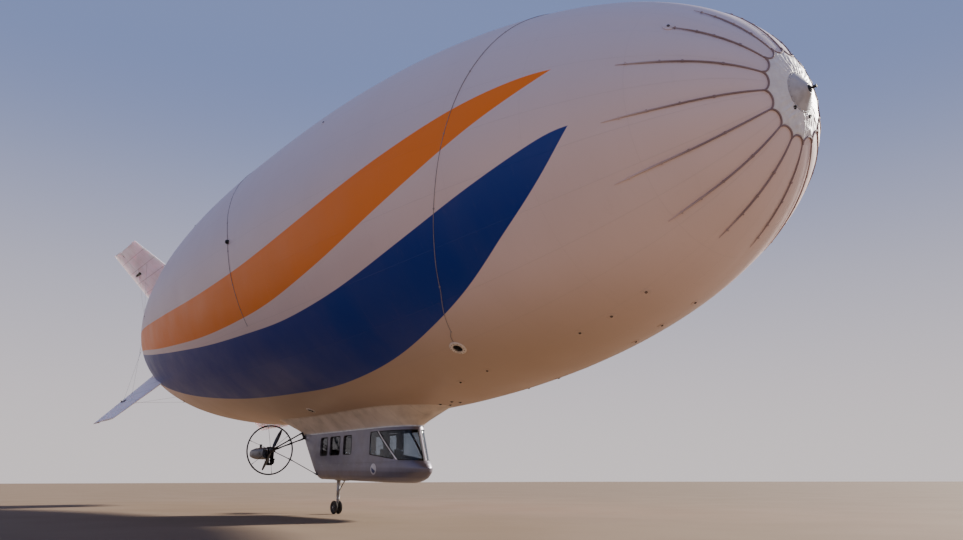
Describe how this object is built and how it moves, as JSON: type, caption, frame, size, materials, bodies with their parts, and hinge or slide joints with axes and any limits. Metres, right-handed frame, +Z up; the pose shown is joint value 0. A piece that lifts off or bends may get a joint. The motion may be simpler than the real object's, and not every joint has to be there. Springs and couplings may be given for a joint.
{
  "type": "non-rigid airship, half-scale model",
  "caption": "Half-scale non-rigid airship: round tapered hull, X tail with hinged ruddervators, gondola with cabin and door, ring-guarded side propellers, castering twin wheel.",
  "frame": {"origin": "on the hull's axis of revolution, halfway between its ends", "axes": "+X to the nose, +Y to port, +Z up; the hull lies level"},
  "size_m": [27.2035, 7.015, 9.1325],
  "materials": {
    "coated_fabric": "satin coated fabric",
    "patch_fabric": "matt coated fabric",
    "batten": "dark tape over stiffeners",
    "cone_paint": "satin",
    "dark_steel": "semi-gloss",
    "silver_panel": "silver-grey satin",
    "skirt_fabric": "matt coated fabric",
    "window_glass": "tinted clear",
    "dark_trim": "matt",
    "seat_fabric": "woven",
    "cowl_paint": "satin grey",
    "blade_resin": "satin",
    "gear_alloy": "machined",
    "tyre": "matt"
  },
  "bodies": {
    "hull": {"envelope": "coated_fabric", "nose_cone": "cone_paint", "mooring_spindle": "dark_steel", "nose_patch": "patch_fabric", "nose_battens": "batten", "tail_cap": "patch_fabric", "fin_upper_starboard": "coated_fabric", "fin_upper_port": "coated_fabric", "fin_lower_starboard": "coated_fabric", "fin_lower_port": "coated_fabric", "gas_valve_port": "patch_fabric", "ballonet_valve_port": "patch_fabric", "gas_valve_starboard": "patch_fabric", "ballonet_valve_starboard": "patch_fabric", "gondola_tub": "silver_panel", "gondola_rear_wall": "silver_panel", "gondola_side_port": "silver_panel", "gondola_side_starboard": "silver_panel", "cockpit_frame": "silver_panel", "windscreen_port": "window_glass", "cockpit_window_port": "window_glass", "windscreen_starboard": "window_glass", "cockpit_window_starboard": "window_glass", "cabin_glazing_port": "window_glass", "cabin_glazing_starboard": "window_glass", "gondola_roof": "dark_trim", "gondola_skirt": "skirt_fabric", "cabin_floor": "dark_trim", "pilot_seat_port": "seat_fabric", "pilot_seat_starboard": "seat_fabric", "passenger_seats": "seat_fabric", "instrument_panel": "dark_trim", "engine_port": "dark_steel", "engine_cowl_port": "cowl_paint", "ring_guard_port": "dark_steel", "outrigger_port": "dark_steel", "engine_starboard": "dark_steel", "engine_cowl_starboard": "cowl_paint", "ring_guard_starboard": "dark_steel", "outrigger_starboard": "dark_steel", "gear_leg": "gear_alloy"},
    "propeller_port": {"propeller_port": "blade_resin"},
    "propeller_starboard": {"propeller_starboard": "blade_resin"},
    "cabin_door": {"cabin_door": "silver_panel", "cabin_door_window": "window_glass"},
    "gear_fork": {"gear_fork": "gear_alloy"},
    "wheels": {"wheel_rims": "gear_alloy", "tyre_port": "tyre", "tyre_starboard": "tyre"},
    "ruddervator_upper_starboard": {"ruddervator_upper_starboard": "coated_fabric"},
    "ruddervator_upper_port": {"ruddervator_upper_port": "coated_fabric"},
    "ruddervator_lower_starboard": {"ruddervator_lower_starboard": "coated_fabric"},
    "ruddervator_lower_port": {"ruddervator_lower_port": "coated_fabric"}
  },
  "joints": [
    {"name": "propeller_port_spin", "type": "hinge", "parent": "hull", "child": "propeller_port", "pos_m": [0.187, 1.3, -4.16], "axis": [1, 0, 0], "continuous": true},
    {"name": "propeller_starboard_spin", "type": "hinge", "parent": "hull", "child": "propeller_starboard", "pos_m": [0.187, -1.3, -4.16], "axis": [1, 0, 0], "continuous": true},
    {"name": "ruddervator_upper_starboard_hinge", "type": "hinge", "parent": "hull", "child": "ruddervator_upper_starboard", "pos_m": [-10.43, -2.12132, 2.12132], "axis": [0, -0.7071, 0.7071], "range_deg": [-25, 25]},
    {"name": "ruddervator_upper_port_hinge", "type": "hinge", "parent": "hull", "child": "ruddervator_upper_port", "pos_m": [-10.43, 2.12132, 2.12132], "axis": [0, 0.7071, 0.7071], "range_deg": [-25, 25]},
    {"name": "ruddervator_lower_starboard_hinge", "type": "hinge", "parent": "hull", "child": "ruddervator_lower_starboard", "pos_m": [-10.43, -2.12132, -2.12132], "axis": [0, -0.7071, -0.7071], "range_deg": [-25, 25]},
    {"name": "ruddervator_lower_port_hinge", "type": "hinge", "parent": "hull", "child": "ruddervator_lower_port", "pos_m": [-10.43, 2.12132, -2.12132], "axis": [0, 0.7071, -0.7071], "range_deg": [-25, 25]},
    {"name": "cabin_door_hinge", "type": "hinge", "parent": "hull", "child": "cabin_door", "pos_m": [3.124, 0.434, -4.2], "axis": [0, 0, -1], "range_deg": [0, 100]},
    {"name": "gear_caster", "type": "hinge", "parent": "hull", "child": "gear_fork", "pos_m": [1.15, 0, -5.2], "axis": [0, 0, 1], "continuous": true},
    {"name": "wheel_spin", "type": "hinge", "parent": "gear_fork", "child": "wheels", "pos_m": [1.085, 0, -5.475], "axis": [0, 1, 0], "continuous": true}
  ]
}
